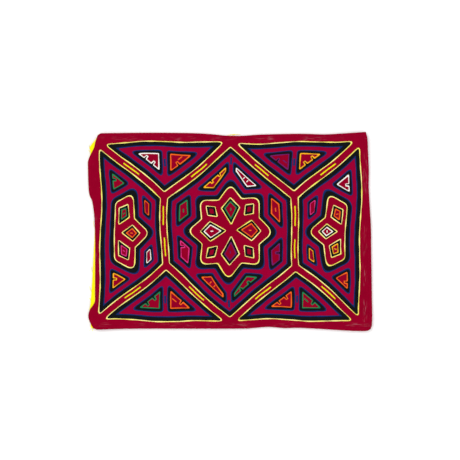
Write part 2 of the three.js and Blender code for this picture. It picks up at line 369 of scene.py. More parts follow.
def fillers_around(window, outline, centre, is_half):
    """The areas for filler patches: one outside each valley, between ribs out from the tips."""
    edge = grow(outline, FILLER_INSET)
    rib_half = MAGENTA_BAND / 2 + BLUE_BAND
    fillers = []
    for valley in range(0, len(edge), 2):
        area = shrink(window, FILLER_INSET)
        sides = [-1] * (not is_half or valley > 0) + [1] * (not is_half or valley < len(edge) - 1)
        for side in sides:
            tip = edge[(valley + side) % len(edge)]
            start, end = (edge[valley], tip) if side > 0 else (tip, edge[valley])
            area = clip(area, start, -outward_normal(start, end))
            towards_tip = 1j * side * (tip - centre) / abs(tip - centre)
            area = clip(area, centre - towards_tip * rib_half, towards_tip)
        fillers.append(apart(area, SHORTEST_FILLER_SIDE))
    return fillers


def corner_fillers(window):
    """The two halves of a three-cornered window's filler area, beside an upright magenta rib."""
    area = shrink(window, FILLER_INSET)
    across = [p.real for p in area]
    middle = (min(across) + max(across)) / 2
    rib_half = MAGENTA_BAND / 2 + BLUE_BAND
    return [clip(area, middle + side * rib_half, -side) for side in (-1, 1)]


def cell_outline(cell, flower, centre, angle):
    """A kite-shaped opening in a flower, along one of its petals."""
    out = cmath.rect(1, angle)
    corners = [
        out * cell["near"],
        out * (cell["widest_at"] - 1j * cell["half_width"]),
        out * cell["far"],
        out * (cell["widest_at"] + 1j * cell["half_width"]),
    ]
    return [centre + complex(p.real, p.imag * flower["stretch"]) for p in corners]


def flower_plan(name):
    """A flower's centre, its sharp outline and its cells."""
    if name == "middle":
        quarters = [k * math.pi / 2 for k in range(4)]
        cells = [cell_outline(CELL, FLOWER, 0j, angle) for angle in quarters]
        cells += [cell_outline(SMALL_CELL, FLOWER, 0j, angle + math.pi / 4) for angle in quarters]
        return 0j, flower_points(FLOWER, 0j, False), cells
    centre = complex(2 * STEP_DOWN + MAGENTA_BAND - FIELD_HALF_WIDTH, 0)
    angles = [2 * k * math.pi / HALF_FLOWER["petals"] for k in (-1, 0, 1)]
    cells = [cell_outline(HALF_CELL, HALF_FLOWER, centre, angle) for angle in angles]
    return centre, flower_points(HALF_FLOWER, centre, True), cells


def rib_slits(cloth, margin=0.0):
    """Short cuts along the ribs that show yellow, or the strips that lie under them."""
    length, width = RIB_SLIT_LENGTH + 2 * margin, RIB_SLIT_WIDTH + 2 * margin
    w, h = FIELD_HALF_WIDTH, FIELD_HALF_HEIGHT
    slits = []
    for sx in (-1, 1):
        crossings = [complex(sx * w / 2, sy * SHOULDER) for sy in (-1, 1)]
        ribs = [(*crossings, UPRIGHT_RIB_SLITS)]
        for crossing, sy in zip(crossings, (-1, 1)):
            for end in (1j * sy * h, complex(sx * w, sy * h)):
                ribs.append((crossing, end, SLANTED_RIB_SLITS))
        for start, end, places in ribs:
            along = (end - start) / abs(end - start)
            for place in places:
                middle = start + (end - start) * place
                slits.append(slit(middle, along, length, width, cloth))
    return slits


WINDOWS = lattice_windows()
FLOWER_NAMES = ("middle", "left", "right")
FLOWERS = {name: flower_plan(name) for name in ("middle", "left")}
FILLERS = {
    name: fillers_around(WINDOWS[name], FLOWERS[name][1], FLOWERS[name][0], name != "middle")
    for name in ("middle", "left")
}
FLOWERS["right"] = (
    -FLOWERS["left"][0].conjugate(),
    mirror_x(FLOWERS["left"][1]),
    [mirror_x(cell) for cell in FLOWERS["left"][2]],
)
FILLERS["right"] = [mirror_x(area) for area in FILLERS["left"]]
for corner in ("top_left", "top_right", "bottom_left", "bottom_right"):
    FILLERS[corner] = corner_fillers(WINDOWS[corner])


def plan_to_model():
    """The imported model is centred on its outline, so the plan is moved to where its flower lies."""
    outline = soften(FLOWERS["middle"][1], FLOWER["petal_round"], VALLEY_ROUND)
    slow = [p + drift(p, UNEVEN) for p in outline]
    across = [p.real for p in slow]
    up = [p.imag for p in slow]
    middle = complex(min(across) + max(across), min(up) + max(up)) / 2
    low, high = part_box("middle_flower_crimson")
    return complex(low[0] + high[0], low[1] + high[1]) / 2 / MM - middle


SHIFT = plan_to_model()

# How the laid cloth stands off the table, at its corners and its left side: x, y, height and reach
LIFTS = (
    (-200, 135, 1.6, 38),
    (203, 141, 2.4, 42),
    (-200, -138, 1.2, 34),
    (203, -140, 0.9, 36),
    (-204, 20, 0.8, 40),
)
# Low swells all over the laid cloth, in rows like those of the waves, and the share of them kept
SWELL = ((0.32, 23, 41, 0.0), (0.26, -57, 19, 1.0), (0.14, 9, 13, 2.0))
SWELL_SHARE = 0.7


def lay(points):
    """Move points in millimetres up to where the cloth lies, with its layers together."""
    x, y, z = points.T
    share = np.clip(z / BASE[1], 0, 1)
    rise = SWELL_SHARE * share * sum(
        size * np.sin(x / sx + y / sy + start) for size, sx, sy, start in SWELL
    )
    for lift_x, lift_y, height, reach in LIFTS:
        rise += height * np.exp(-((x - lift_x) ** 2 + (y - lift_y) ** 2) / reach**2)
    laid = points.copy()
    laid[:, 2] += rise
    return laid


def select_only(piece):
    bpy.ops.object.select_all(action="DESELECT")
    piece.select_set(True)
    bpy.context.view_layer.objects.active = piece


def link(name, data):
    piece = bpy.data.objects.new(name, data)
    bpy.context.scene.collection.objects.link(piece)
    return piece


def mesh_of(plan, height=0.0):
    """Make a curve a mesh that lies at a height."""
    piece = link(plan.name, plan)
    piece.location.z = height
    select_only(piece)
    bpy.ops.object.convert(target="MESH")
    bpy.ops.object.transform_apply(location=True, rotation=True, scale=True)
    return bpy.context.object


def finished(piece, material, slot, *nodes):
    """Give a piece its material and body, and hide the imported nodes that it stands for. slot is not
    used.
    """
    piece.data.materials.clear()
    piece.data.materials.append(material)
    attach(piece, "root")
    if nodes:
        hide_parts(*nodes)
    return {"FINISHED"}


def divide_in_grid(piece, pitch):
    """Cut a flat cloth along a grid, so that it has points enough to lie softly."""
    corners = np.array([corner[:] for corner in piece.bound_box])
    bpy.ops.object.mode_set(mode="EDIT")
    bpy.ops.mesh.select_all(action="SELECT")
    bpy.ops.mesh.remove_doubles(threshold=SAME_POINT * MM)
    for axis in (0, 1):
        low, high = corners[:, axis].min(), corners[:, axis].max()
        for k in range(math.ceil(low / pitch), math.floor(high / pitch) + 1):
            place, normal = [0, 0, 0], [0, 0, 0]
            place[axis], normal[axis] = k * pitch, 1
            bpy.ops.mesh.select_all(action="SELECT")
            bpy.ops.mesh.bisect(plane_co=place, plane_no=normal)
    bpy.ops.object.mode_set(mode="OBJECT")


def lay_cloth(name, shapes, level, material, slot, *nodes):
    """Cut the shapes from one cloth and turn their edges. A shape is an outline and its holes."""
    sizes = bpy.context.scene.mola_sizes
    low, high = level
    plan = bpy.data.curves.new(name, "CURVE")
    plan.dimensions = "2D"
    plan.fill_mode = "BOTH"
    for outline in (line for shape in shapes for line in shape):
        spline = plan.splines.new("POLY")
        spline.points.add(len(outline) - 1)
        moved = [(p + SHIFT) * MM for p in outline]
        spline.points.foreach_set("co", [v for p in moved for v in (p.real, p.imag, 0, 1)])
        spline.use_cyclic_u = True
    plan.bevel_depth = sizes.fold
    plan.bevel_resolution = 1
    plan.offset = -sizes.fold
    plan.extrude = (high - low) * MM / 2 - sizes.fold
    piece = mesh_of(plan, (high + low) * MM / 2)
    divide_in_grid(piece, sizes.grid)
    points = np.empty(len(piece.data.vertices) * 3)
    piece.data.vertices.foreach_get("co", points)
    points = lay(points.reshape(-1, 3) / MM) * MM
    piece.data.vertices.foreach_set("co", points.ravel())
    bpy.ops.object.shade_smooth_by_angle(angle=math.radians(SMOOTH_ANGLE))
    return finished(piece, material, slot, *nodes)


def linear(hex_colour):
    """An sRGB hex colour as linear red, green and blue."""
    parts = [int(hex_colour[i : i + 2], 16) / 255 for i in (1, 3, 5)]
    return tuple(c / 12.92 if c <= 0.04045 else ((c + 0.055) / 1.055) ** 2.4 for c in parts)


MATH = "ShaderNodeMath"
RANGE = "ShaderNodeMapRange"
NOISE = "ShaderNodeTexNoise"


def add_node(tree, kind, inputs=(), output=0, **settings):
    """Add a shader node and return one of its outputs. Its inputs are values, or outputs to link
    from, in the order of its sockets or by their names."""
    node = tree.nodes.new(kind)
    for key, value in settings.items():
        setattr(node, key, value)
    named = inputs if isinstance(inputs, dict) else dict(enumerate(inputs))
    for key, value in named.items():
        if isinstance(value, bpy.types.NodeSocket):
            tree.links.new(value, node.inputs[key])
        else:
            node.inputs[key].default_value = value
    return node.outputs[output]


# Cloth colours, and the colours of the lines inside the filler patches
CRIMSON_HEX = "#8B0023"
MAGENTA_HEX = "#94002F"
BLACK_HEX = "#121416"
BLUE_HEX = "#182B62"
YELLOW_HEX = "#F6EB12"
# The pale yellow of the painted highlight on the yellow cloth's folded edges
HIGHLIGHT_YELLOW_HEX = "#FFF69A"
LINE_HEX = {
    "white": "#F6F1EA",
    "orange": "#F0641E",
    "green": "#1C7A4C",
    "violet": "#6E1F63",
    "gold": "#F5AE22",
    "pink": "#D4307A",
}
# Rubbed fibres, the painted shade along an old fold, and the floor
SCUFF_HEX = "#D9A9B4"
FOLD_SHADE_HEX = "#3F000D"
FLOOR_HEX = "#FBFBFB"

# The view is 460 pixels wide, and the panel's 410 mm fill 284 of them a little below the middle.
VIEW_WIDTH = 460 * 410 / 284
VIEW_RISE = 2.2
VIEW_DEPTH = 20
SENSOR = 36.0
WORLD_STRENGTH = 0.97
FLOOR_SIZE = 6.0
FLOOR_DROP = 0.02
# Each lamp's name, place, size and power
LAMPS = (
    ("window light", (-1.1, 1.0, 1.7), 1.2, 13.0),
    ("fill light", (1.2, -0.7, 1.8), 1.6, 5.0),
)


def per_metre(size):
    """How many marks of a size in millimetres lie along a metre, which is how noise is scaled."""
    return 1 / (size * MM)


# A sine band of the Wave node repeats every 2 pi / 20 units at scale 1.
WAVE_UNIT = 2 * math.pi / 20

# Noise in the cloth: thick threads, by their length and breadth, puckers from the sewing, and
# blotches of the dye
SLUB_SCALE = (per_metre(22.2), per_metre(0.714), 1)
PUCKER_SCALE = per_metre(4.76)
BLOTCH_SCALE = per_metre(10.5)
RELIEF = 0.16 * MM

# Where the ridge of the turned hem is rubbed, out from the middle along X and Y, with what noise,
# and where an old fold crosses the lower border, with how strong the painted shade along it is
RUBBED_BESIDE = (0.1905, 0.1985)
RUBBED_ABOVE = (0.1305, 0.1375)
RUBBED_SOFTNESS = 0.0025
SIDE_STREAK_SCALE = (per_metre(1.11), per_metre(13.3), 1)
EDGE_STREAK_SCALE = (per_metre(13.3), per_metre(1.05), 1)
STREAK_RANGE = (0.54, 0.68)
FIBRE_SCALE = per_metre(0.588)
RUBBED_PATCH_SCALE = per_metre(33.3)
RUBBED_SHARE = 0.34
CREASE_X = -0.130
CREASE_TOP = -0.129
CREASE_HALF_WIDTH = 0.7 * MM
FOLD_SHADE_SHARE = 0.22

# Where along X the painted highlight on the yellow cloth's folded edges starts and is full, and how
# large its patches are
HIGHLIGHT_ALONG = (-0.196, -0.188)
HIGHLIGHT_PATCH_SCALE = per_metre(45.5)


def stretched_noise(tree, place, scale, detail):
    """Noise drawn out along one axis, as thick threads and rubbed streaks are."""
    drawn_out = add_node(tree, "ShaderNodeMapping", {"Vector": place, "Scale": scale})
    return add_node(tree, NOISE, {"Vector": drawn_out, "Scale": 1.0, "Detail": detail})


def matt_material(name, roughness, specular):
    """A new material and its shader."""
    material = bpy.data.materials.new(name)
    material.use_nodes = True
    shader = material.node_tree.nodes["Principled BSDF"]
    shader.inputs["Roughness"].default_value = roughness
    shader.inputs["Specular IOR Level"].default_value = specular
    return material, shader


def plain_weave(colour_name, dye, slub=0.06, finish=None):
    """Mercerised plain-weave cotton poplin: matt, evenly dyed, with fine crossing threads and the
    odd thick one, drawn together a little by the sewing. The real spacing of the threads, about
    0.35 mm, is too fine to show, so it is drawn coarser. The threads also carry painted shade
    between them and painted highlight on them. slub is how uneven the dye is. finish adds what one
    cloth alone has, its painted light included, to its colour and its relief."""
    material, shader = matt_material(f"{colour_name} cotton poplin", 0.95, 0.02)
    tree = material.node_tree
    place = add_node(tree, "ShaderNodeTexCoord", output="Object")
    spacing = bpy.context.scene.mola_sizes.weave
    wave = {"Vector": place, "Scale": WAVE_UNIT / spacing, "Distortion": 1.6, "Detail": 1.0}
    wave["Detail Scale"] = 0.6
    warp, weft = (
        add_node(tree, "ShaderNodeTexWave", wave, "Fac", wave_type="BANDS", bands_direction=way)
        for way in "XY"
    )
    weave = add_node(tree, MATH, (warp, weft), operation="MULTIPLY")
    slubs = stretched_noise(tree, place, SLUB_SCALE, 2.0)
    puckers = add_node(tree, NOISE, {"Vector": place, "Scale": PUCKER_SCALE, "Detail": 2.0})
    threads = add_node(tree, MATH, (slubs, 0.6, weave), operation="MULTIPLY_ADD")
    relief = add_node(tree, MATH, (puckers, 2.4, threads), operation="MULTIPLY_ADD")
    blotches = add_node(tree, NOISE, {"Vector": place, "Scale": BLOTCH_SCALE, "Detail": 5.0})
    depth = add_node(tree, RANGE, (blotches, 0.3, 0.7, 1 - slub, 1 + slub))
    # Painted shade and highlight of the weave: darker between the threads, lighter on them, with the
    # thick threads' own tone
    weave_light_and_slub_tone = add_node(tree, RANGE, (threads, 0.2, 1.1, 0.92, 1.05))
    value = add_node(tree, MATH, (depth, weave_light_and_slub_tone), operation="MULTIPLY")
    colour = add_node(tree, "ShaderNodeHueSaturation", {"Color": (*dye, 1), "Value": value})
    if finish:
        colour, relief = finish(tree, place, colour, relief)
    bump = {"Height": relief, "Strength": 0.55, "Distance": RELIEF}
    tree.links.new(add_node(tree, "ShaderNodeBump", bump), shader.inputs["Normal"])
    tree.links.new(colour, shader.inputs["Base Color"])
    return material


def band(tree, socket, low, high):
    """1 between two values and 0 outside them, with soft ends."""
    rise = add_node(tree, RANGE, (socket, low, low + RUBBED_SOFTNESS, 0, 1))
    fall = add_node(tree, RANGE, (socket, high - RUBBED_SOFTNESS, high, 1, 0))
    return add_node(tree, MATH, (rise, fall), operation="MULTIPLY")


def rubbed_border_and_fold_shade(tree, place, colour, relief):
    """Pale streaks of rubbed fibres along the border, and painted shade in an old fold across its
    lower part.
    """
    across = add_node(tree, "ShaderNodeSeparateXYZ", {"Vector": place}, "X")
    up = across.node.outputs["Y"]
    beside, above = (add_node(tree, MATH, (way,), operation="ABSOLUTE") for way in (across, up))
    off_corners = add_node(tree, MATH, (above, RUBBED_ABOVE[0]), operation="LESS_THAN")
    at_side = band(tree, beside, *RUBBED_BESIDE)
    at_side = add_node(tree, MATH, (at_side, off_corners), operation="MULTIPLY")
    at_edge = band(tree, above, *RUBBED_ABOVE)
    streaks = []
    for border, scale in ((at_side, SIDE_STREAK_SCALE), (at_edge, EDGE_STREAK_SCALE)):
        streak = stretched_noise(tree, place, scale, 3.0)
        streak = add_node(tree, RANGE, (streak, *STREAK_RANGE, 0, 1))
        streaks.append(add_node(tree, MATH, (border, streak), operation="MULTIPLY"))
    patches = add_node(tree, NOISE, {"Vector": place, "Scale": RUBBED_PATCH_SCALE, "Detail": 2.0})
    patches = add_node(tree, RANGE, (patches, 0.46, 0.62, 0, 1))
    fibres = add_node(tree, NOISE, {"Vector": place, "Scale": FIBRE_SCALE, "Detail": 2.0})
    fibres = add_node(tree, RANGE, (fibres, 0.4, 0.62, 0.35, 1))
    share = add_node(tree, MATH, streaks, operation="MAXIMUM")
    for part in (patches, fibres, RUBBED_SHARE):
        share = add_node(tree, MATH, (share, part), operation="MULTIPLY")
    scuff = (*linear(SCUFF_HEX), 1)
    worn = add_node(tree, "ShaderNodeMix", {0: share, 6: colour, 7: scuff}, 2, data_type="RGBA")
    off_fold = add_node(tree, MATH, (across, CREASE_X), operation="SUBTRACT")
    off_fold = add_node(tree, MATH, (off_fold,), operation="ABSOLUTE")
    fold = add_node(tree, RANGE, (off_fold, 0, CREASE_HALF_WIDTH, 1, 0))
    below = add_node(tree, MATH, (up, CREASE_TOP), operation="LESS_THAN")
    fold = add_node(tree, MATH, (fold, below), operation="MULTIPLY")
    # Painted shade: the colour is darkened towards a deep crimson along the fold
    shade = add_node(tree, MATH, (fold, FOLD_SHADE_SHARE), operation="MULTIPLY")
    inputs = {0: shade, 6: worn, 7: (*linear(FOLD_SHADE_HEX), 1)}
    fold_shaded = add_node(tree, "ShaderNodeMix", inputs, 2, data_type="RGBA")
    return fold_shaded, add_node(tree, MATH, (fold, -1.0, relief), operation="MULTIPLY_ADD")


def highlit_inside(tree, place, colour, relief):
    """Yellow cloth has its full colour where it reaches past the crimson at the left. Elsewhere only
    its folded edges show, and they are paled unevenly as a painted highlight."""
    across = add_node(tree, "ShaderNodeSeparateXYZ", {"Vector": place}, "X")
    inside = add_node(tree, RANGE, (across, *HIGHLIGHT_ALONG, 0, 1))
    uneven = add_node(tree, NOISE, {"Vector": place, "Scale": HIGHLIGHT_PATCH_SCALE, "Detail": 2.0})
    uneven = add_node(tree, RANGE, (uneven, 0.4, 0.6, 0.45, 1))
    # Painted highlight: the yellow is mixed towards a pale yellow, in uneven patches
    share = add_node(tree, MATH, (inside, uneven), operation="MULTIPLY")
    pale = (*linear(HIGHLIGHT_YELLOW_HEX), 1)
    highlit = add_node(tree, "ShaderNodeMix", {0: share, 6: colour, 7: pale}, 2, data_type="RGBA")
    return highlit, relief


# A notch's corners, in shares of its width and depth, and how near a side its foot lies
NOTCH_CORNERS = ((-0.5, 0), (-0.38, 1), (0.38, 1), (0.5, 0))
ON_SIDE = 0.1


def comb(outline, feet, width, depth):
    """Cut a row of notches into the side of an outline that the feet stand on."""
    points = []
    for i, a in enumerate(outline):
        b = outline[(i + 1) % len(outline)]
        along = (b - a) / abs(b - a)
        points.append(a)
        for foot in feet:
            aside, ahead = dot(foot - a, 1j * along), dot(foot - a, along)
            if abs(aside) < ON_SIDE and 0 < ahead < abs(b - a):
                for across, up in NOTCH_CORNERS:
                    points.append(foot + along * across * width + 1j * along * up * depth)
    return points


def sides_of(outline):
    return [(outline[i - 1], b) for i, b in enumerate(outline)]


def longest_side(outline):
    return max(sides_of(outline), key=lambda side: abs(side[1] - side[0]))


def polygon_area(outline):
    return abs(sum((a.conjugate() * b).imag for a, b in sides_of(outline))) / 2


def middle_of(outline):
    """The centre of a polygon's area."""
    sides = sides_of(outline)
    weights = [(a.conjugate() * b).imag for a, b in sides]
    return sum((a + b) * w for (a, b), w in zip(sides, weights)) / sum(weights) / 3


# How a filler patch is worked: the colour of its line, the notches in its longest side and the
# slits in its core
Work = namedtuple("Work", "colour notches slits")
FILLER_WORK = {
    "middle": (
        Work("violet", 1, 0),
        Work("orange", 0, 1),
        Work("white", 0, 2),
        Work("gold", 2, 0),
        Work("green", 0, 1),
        Work("pink", 1, 0),
        Work("orange", 0, 2),
        Work("green", 2, 0),
    ),
    "left": (Work("gold", 1, 0), Work("white", 0, 0), Work("orange", 0, 0), Work("green", 1, 0)),
    "right": (Work("orange", 1, 0), Work("gold", 0, 0), Work("pink", 0, 0), Work("white", 1, 0)),
    "top_left": (Work("white", 2, 0), Work("orange", 1, 1)),
    "top_right": (Work("violet", 1, 1), Work("gold", 2, 0)),
    "bottom_left": (Work("green", 2, 0), Work("orange", 1, 1)),
    "bottom_right": (Work("orange", 2, 0), Work("green", 1, 1)),
}
# The colour of the line in each cell of a flower. A small cell has a plain crimson core.
CELL_WORK = {
    "middle": ("orange", "green", "white", "violet", None, None, None, None),
    "left": ("pink", "orange", "green"),
    "right": ("gold", "white", "orange"),
}
NOTCH_PLACES = ((), (0.4,), (0.34, 0.66))
NOTCH_WIDTH = 2.0
NOTCH_REACH = 0.48
SLIT_WIDTH = 1.6
SLIT_SHARE = 0.26
SLIT_SHIFT = 0.16
TWIN_SLIT = 4.0
TWIN_SPACING = 3.6
CELL_SLIT = 4.0
SMALL_CELL_BLACK = 2.6
LINE_ROUND, CELL_LINE_ROUND = 1.6, 1.2
CORE_ROUND, CELL_CORE_ROUND = 1.0, 0.8
NOTCH_ROUND = 0.8


def filler_plans():
    """Each filler's sharp outline, and how it is worked."""
    return [row for place, areas in FILLERS.items() for row in zip(areas, FILLER_WORK[place])]


def cell_plans():
    """Each cell's sharp outline, and the colour of its line."""
    return [row for name in FLOWER_NAMES for row in zip(FLOWERS[name][2], CELL_WORK[name])]


def core_slits(core, work):
    """The slits cut in a core: one along its longest side, or two side by side across it."""
    start, end = longest_side(core)
    side = end - start
    along = side / abs(side)
    middle = middle_of(core)
    if work.slits == 1:
        place = middle + side * SLIT_SHIFT * work.notches
        return [slit(place, along, abs(side) * SLIT_SHARE, SLIT_WIDTH, CORE_HAND)]
    if work.slits == 2:
        places = [middle + along * TWIN_SPACING * k for k in (-1, 1)]
        return [slit(place, 1j * along, TWIN_SLIT, SLIT_WIDTH, CORE_HAND) for place in places]
    return []


def worked_filler(area, work):
    """The line and the core of one filler patch, as outlines with holes."""
    girth = sum(abs(b - a) for a, b in sides_of(area))
    share = min(1, 2 * polygon_area(area) / girth / FULL_BREADTH)
    line = shrink(area, FILLER_BLACK * share)
    core = shrink(line, FILLER_LINE * share)
    start, end = longest_side(line)
    inward = 1j * (end - start) / abs(end - start)
    depth = NOTCH_REACH * polygon_area(line) / abs(end - start)
    feet = [start + (end - start) * place for place in NOTCH_PLACES[work.notches]]
    raised = [foot + inward * FILLER_LINE * share for foot in feet]
    notched_line = comb(line, feet, NOTCH_WIDTH, depth)
    notched_core = comb(core, raised, NOTCH_WIDTH + 2 * FILLER_LINE, depth)
    line_shape = [cut(notched_line, LINE_ROUND, LINE_HAND, NOTCH_ROUND)]
    core_shape = [cut(notched_core, CORE_ROUND, CORE_HAND, NOTCH_ROUND), *core_slits(core, work)]
    return line_shape, core_shape


def worked_cell(cell):
    """The line and the core inside one cell of a flower."""
    line = shrink(cell, CELL_YELLOW + CELL_BLACK)
    core = shrink(line, CELL_LINE)
    across = core[1] - core[3]
    opening = slit(middle_of(core), 1j * across / abs(across), CELL_SLIT, SLIT_WIDTH, CORE_HAND)
    return [cut(line, CELL_LINE_ROUND, LINE_HAND)], [cut(core, CELL_CORE_ROUND, CORE_HAND), opening]


def flower_layer(name, distance, cloth):
    flower = FLOWER if name == "middle" else HALF_FLOWER
    return cut(grow(FLOWERS[name][1], distance), flower["petal_round"] + distance, cloth)


def window_layer(window, distance, cloth):
    return cut(shrink(window, distance), WINDOW_ROUND - distance, cloth)


def cell_layer(cell, distance, cloth):
    return cut(shrink(cell, distance), CELL_ROUND - distance, cloth)


def windows_cut(distance, cloth):
    return [window_layer(window, distance, cloth) for window in WINDOWS.values()]


def yellow_outlines():
    """The yellow cloth's edge and its windows."""
    return [panel_edge(YELLOW_EDGE, UNDER_SCALE), *windows_cut(YELLOW_BAND - FOLD, YELLOW_HAND)]


def crimson_outlines():
    """The crimson cloth's edge, its windows and the slits in its ribs."""
    openings = windows_cut(0, CRIMSON_HAND) + rib_slits(CRIMSON_HAND)
    return [panel_edge(CRIMSON_EDGE), *openings]


def band_shapes(under, seen, cloth):
    """A band in each window and round each flower, from its hidden edge to the one that shows."""
    bands = [list(edges) for edges in zip(windows_cut(under, cloth), windows_cut(seen, cloth))]
    for name in FLOWER_NAMES:
        bands.append([flower_layer(name, distance, cloth) for distance in (seen, under)])
    return bands


def flower_shapes(inset, cell_inset, cloth):
    """The flowers that are cut from one cloth, with the openings for their cells."""
    shapes = []
    for name in FLOWER_NAMES:
        cells = [cell_layer(cell, cell_inset, cloth) for cell in FLOWERS[name][2]]
        shapes.append([flower_layer(name, inset, cloth), *cells])
    return shapes


def all_cells():
    return [cell for name in FLOWER_NAMES for cell in FLOWERS[name][2]]


def all_fillers():
    return [area for areas in FILLERS.values() for area in areas]


def evenly_along(outline, spacing):
    """Places spaced evenly round a closed outline, each with the direction of the line there."""
    total = sum(abs(b - a) for a, b in sides_of(outline))
    count = round(total / spacing)
    places, walked, target = [], 0.0, 0.0
    for a, b in sides_of(outline):
        step = abs(b - a)
        while target < walked + step and len(places) < count:
            places.append((a + (b - a) * (target - walked) / step, (b - a) / step))
            target += total / count
        walked += step
    return places


# Small slanting stitches: how far in from the fold they lie, their slant and their length
WHIP_INSET = 0.65
WHIP_SLANT = cmath.rect(1, 0.5)
WHIP_LENGTH = 0.75
# The hem's long running stitches, in a thicker thread
RUNNING_LENGTH = 2.6
THICKER = 1.2
# How far a stitch bows up in its middle and sinks at its ends, in thicknesses of the thread
STITCH_BOW = 1.1
STITCH_DIP = 0.75
TWIST_SCALE = per_metre(1.11)


def stitch_template(length, thickness):
    """One stitch: a short thread along X that dips into the cloth at both ends."""
    bpy.ops.object.select_all(action="DESELECT")
    bpy.ops.mesh.primitive_cylinder_add(
        vertices=4, radius=thickness / 2, depth=length, rotation=(0, math.pi / 2, 0)
    )
    stitch = bpy.context.object
    bpy.ops.object.transform_apply(location=True, rotation=True, scale=True)
    bpy.ops.object.mode_set(mode="EDIT")
    for share in (-0.25, 0.25):
        bpy.ops.mesh.select_all(action="SELECT")
        bpy.ops.mesh.bisect(plane_co=(share * length, 0, 0), plane_no=(1, 0, 0))
    bpy.ops.object.mode_set(mode="OBJECT")
    mesh = stitch.data
    points = np.array([v.co[:] for v in mesh.vertices]) / MM
    along = points[:, 0] / (length / MM / 2)
    points[:, 2] += ((1 - along**2) * STITCH_BOW - STITCH_DIP) * thickness / MM
    faces = [tuple(face.vertices) for face in mesh.polygons]
    bpy.data.objects.remove(stitch)
    bpy.data.meshes.remove(mesh)
    return points, faces


def sewn(name, places, height, template, material):
    """Copies of one stitch, each at a place and along a direction, as one piece of sewing."""
    points, faces = template
    all_points, all_faces = [], []
    for place, direction in places:
        turned = (points[:, 0] + 1j * points[:, 1]) * direction + place + SHIFT
        all_points.append(np.column_stack([turned.real, turned.imag, points[:, 2] + height]))
    for k in range(len(places)):
        all_faces += [tuple(v + k * len(points) for v in face) for face in faces]
    laid = lay(np.concatenate(all_points)) * MM
    mesh = bpy.data.meshes.new(name)
    mesh.from_pydata(laid.tolist(), [], all_faces)
    return finished(link(name, mesh), material, "sewing_thread")


def whip_places(outlines, spacing, cloth_side):
    """Where the small slanting stitches go that hold a folded edge. cloth_side is 1 where the cloth
    lies inside its outline and -1 round a window."""
    places = []
    for outline in outlines:
        for place, along in evenly_along(outline, spacing):
            inward = 1j * along * cloth_side
            places.append((place + inward * WHIP_INSET, inward * WHIP_SLANT))
    return places


def running_places(outline, spacing, inset, at_side):
    """Where long stitches go a little inside the edge: at the panel's left side, or elsewhere."""
    places = evenly_along(outline, spacing)
    kept = [row for row in places if (row[0].real < HEM_END) == at_side]
    return [(place + 1j * along * inset, along) for place, along in kept]


# Loose yellow threads at the panel's edge: where each starts and ends, and how far it bows aside
LOOSE_THREADS = (
    (-4 + 138.6j, 9 + 140.2j, 0.8),
    (-1 + 138.2j, 15 + 139.9j, 1.0),
    (3 + 138.4j, 12 + 140.4j, 0.5),
    (-201 + 118j, -203.5 + 125j, 0.7),
    (-200.5 + 110j, -204.5 + 117.5j, -0.6),
    (-200 - 86j, -202.6 - 79j, 0.8),
    (-200.6 - 101j, -203.4 - 96j, -0.7),
    (-198 - 60j, -199.8 - 51j, 0.6),
    (-200 - 137j, -203.6 - 143j, 1.2),
    (-196.5 - 138j, -198.6 - 144.2j, -0.8),
    (-196 + 6j, -196.9 + 15j, 0.4),
)
THREAD_POINTS = 7
THREAD_RADIUS = 0.2


def loose_threads(material):
    """Yellow threads that have come out of the raw edge and lie beside it on the table."""
    plan = bpy.data.curves.new("loose_threads", "CURVE")
    plan.dimensions = "3D"
    for start, end, bow in LOOSE_THREADS:
        spline = plan.splines.new("POLY")
        spline.points.add(THREAD_POINTS - 1)
        along = end - start
        aside = 1j * along / abs(along) * bow
        for k, point in enumerate(spline.points):
            t = k / (THREAD_POINTS - 1)
            place = (start + along * t + aside * math.sin(math.pi * t) + SHIFT) * MM
            height = YELLOW[0] + (THREAD_RADIUS - YELLOW[0]) * t
            point.co = (place.real, place.imag, height * MM, 1)
    plan.bevel_depth = THREAD_RADIUS * MM
    plan.bevel_resolution = 0
    plan.use_fill_caps = True
    return finished(mesh_of(plan), material, "yellow_cotton")


def length_property(label, about, millimetres):
    """A length in metres, with its usual value given in millimetres."""
    return bpy.props.FloatProperty(
        name=label, description=about, default=millimetres * MM, unit="LENGTH", precision=5
    )


class MolaSizes(bpy.types.PropertyGroup):
    """Sizes that a user would change."""

    fold: length_property("Fold", "Radius of a turned cotton edge", FOLD)
    grid: length_property("Grid", "Spacing of the points inside a cloth", GRID)
    stitch_spacing: length_property("Stitch spacing", "Distance between small stitches", 2.0)
    hem_spacing: length_property("Hem stitch spacing", "Distance between hem stitches", 5.2)
    thread: length_property("Thread", "Thickness of the sewing thread", 0.24)
    weave: length_property("Weave", "Drawn spacing of the cloth's threads", 0.85)
    view_width: length_property("View width", "Width of the view at the panel", VIEW_WIDTH)
    camera_height: length_property("Camera height", "Height of the camera over the panel", 1900.0)


def colour_property(label, hex_colour):
    """A dye's colour, given as an sRGB hex colour."""
    about = f"Colour of the {label.lower()}"
    return bpy.props.FloatVectorProperty(
        name=label, description=about, default=linear(hex_colour), subtype="COLOR", size=3
    )


class MolaColours(bpy.types.PropertyGroup):
    """Dye colours that a user would change."""

    crimson: colour_property("Crimson cloth", CRIMSON_HEX)
    magenta: colour_property("Magenta cloth", MAGENTA_HEX)
    black: colour_property("Black cloth", BLACK_HEX)
    blue: colour_property("Blue cloth", BLUE_HEX)
    yellow: colour_property("Yellow cloth", YELLOW_HEX)
    floor: colour_property("Floor", FLOOR_HEX)


class MOLA_OT_base_cloth(bpy.types.Operator):
    """Lay the magenta cloth that backs the whole panel"""

    bl_idname = "mola.base_cloth"
    bl_label = "Base cloth"

    def execute(self, context):
        material = plain_weave("Magenta", context.scene.mola_colours.magenta)
        sheet = [[panel_edge(YELLOW_EDGE, UNDER_SCALE)]]
        return lay_cloth("base", sheet, BASE, material, "magenta_cotton", "base_cloth")


